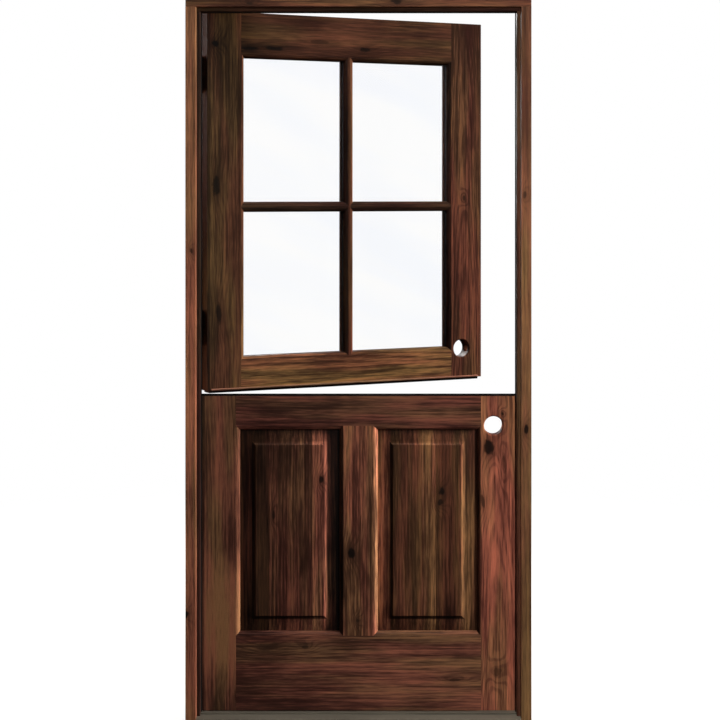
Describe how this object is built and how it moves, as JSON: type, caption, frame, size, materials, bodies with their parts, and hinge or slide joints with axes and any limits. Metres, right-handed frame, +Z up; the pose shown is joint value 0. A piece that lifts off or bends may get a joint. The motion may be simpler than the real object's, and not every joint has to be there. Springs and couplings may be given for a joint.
{
  "type": "dutch stable door",
  "caption": "Exterior Dutch door in its frame: glazed upper leaf with muntins, panelled lower leaf, each hung on butt hinges, over a metal sill.",
  "frame": {"origin": "centre of the sill's bottom face, midway between the jambs and midway in the jambs' depth", "axes": "+X to the right seen from the street, +Y into the room, +Z up"},
  "size_m": [0.978, 0.5326, 2.0804],
  "materials": {
    "frame_wood": "red mahogany stain on knotty alder, satin",
    "leaf_wood": "red mahogany stain on knotty alder, satin",
    "dowel": "bare beech",
    "glass": "clear",
    "spacer": "dark anodised",
    "seal": "matte black",
    "bronze": "oil-rubbed bronze",
    "steel_screw": "zinc plated",
    "sill_core": "dark composite",
    "sill_metal": "mill finish, dull"
  },
  "bodies": {
    "frame": {"hinge_jamb": "frame_wood", "strike_jamb": "frame_wood", "head_jamb": "frame_wood", "hinge_stop": "frame_wood", "strike_stop": "frame_wood", "head_stop": "frame_wood", "hinge_seal": "seal", "strike_seal": "seal", "head_seal": "seal", "sill_base": "sill_core", "sill_plate": "sill_metal", "threshold_rail": "sill_metal", "frame_hinge_1": "bronze", "frame_hinge_2": "bronze", "frame_hinge_3": "bronze", "frame_hinge_4": "bronze", "hinge_pin_1": "bronze", "hinge_pin_2": "bronze", "hinge_pin_3": "bronze", "hinge_pin_4": "bronze", "frame_hinge_screws": "bronze", "frame_joint_screws": "steel_screw", "sill_screws": "steel_screw"},
    "upper_leaf": {"upper_hinge_stile": "leaf_wood", "upper_lock_stile": "leaf_wood", "upper_top_rail": "leaf_wood", "upper_bottom_rail": "leaf_wood", "upright_muntin": "leaf_wood", "left_cross_muntin": "leaf_wood", "right_cross_muntin": "leaf_wood", "glass_unit_1": "glass", "glass_unit_2": "glass", "glass_unit_3": "glass", "glass_unit_4": "glass", "glass_spacers": "spacer", "glazing_beads_1": "leaf_wood", "glazing_beads_2": "leaf_wood", "glazing_beads_3": "leaf_wood", "glazing_beads_4": "leaf_wood", "meeting_strip": "leaf_wood", "drip_bead": "leaf_wood", "upper_dowels": "dowel", "upper_door_hinge_3": "bronze", "upper_door_hinge_4": "bronze", "upper_hinge_screws": "bronze"},
    "lower_leaf": {"lower_hinge_stile": "leaf_wood", "lower_lock_stile": "leaf_wood", "lower_top_rail": "leaf_wood", "lower_bottom_rail": "leaf_wood", "lower_mullion": "leaf_wood", "left_panel": "leaf_wood", "right_panel": "leaf_wood", "meeting_seal": "seal", "bottom_sweep": "seal", "lower_dowels": "dowel", "lower_door_hinge_1": "bronze", "lower_door_hinge_2": "bronze", "lower_hinge_screws": "bronze"}
  },
  "joints": [
    {"name": "upper_swing", "type": "hinge", "parent": "frame", "child": "upper_leaf", "pos_m": [-0.4588, 0.06481, 1.5], "axis": [0, 0, 1], "range_deg": [-27, 143]},
    {"name": "lower_swing", "type": "hinge", "parent": "frame", "child": "lower_leaf", "pos_m": [-0.4588, 0.06481, 0.5], "axis": [0, 0, 1], "range_deg": [0, 170]}
  ]
}
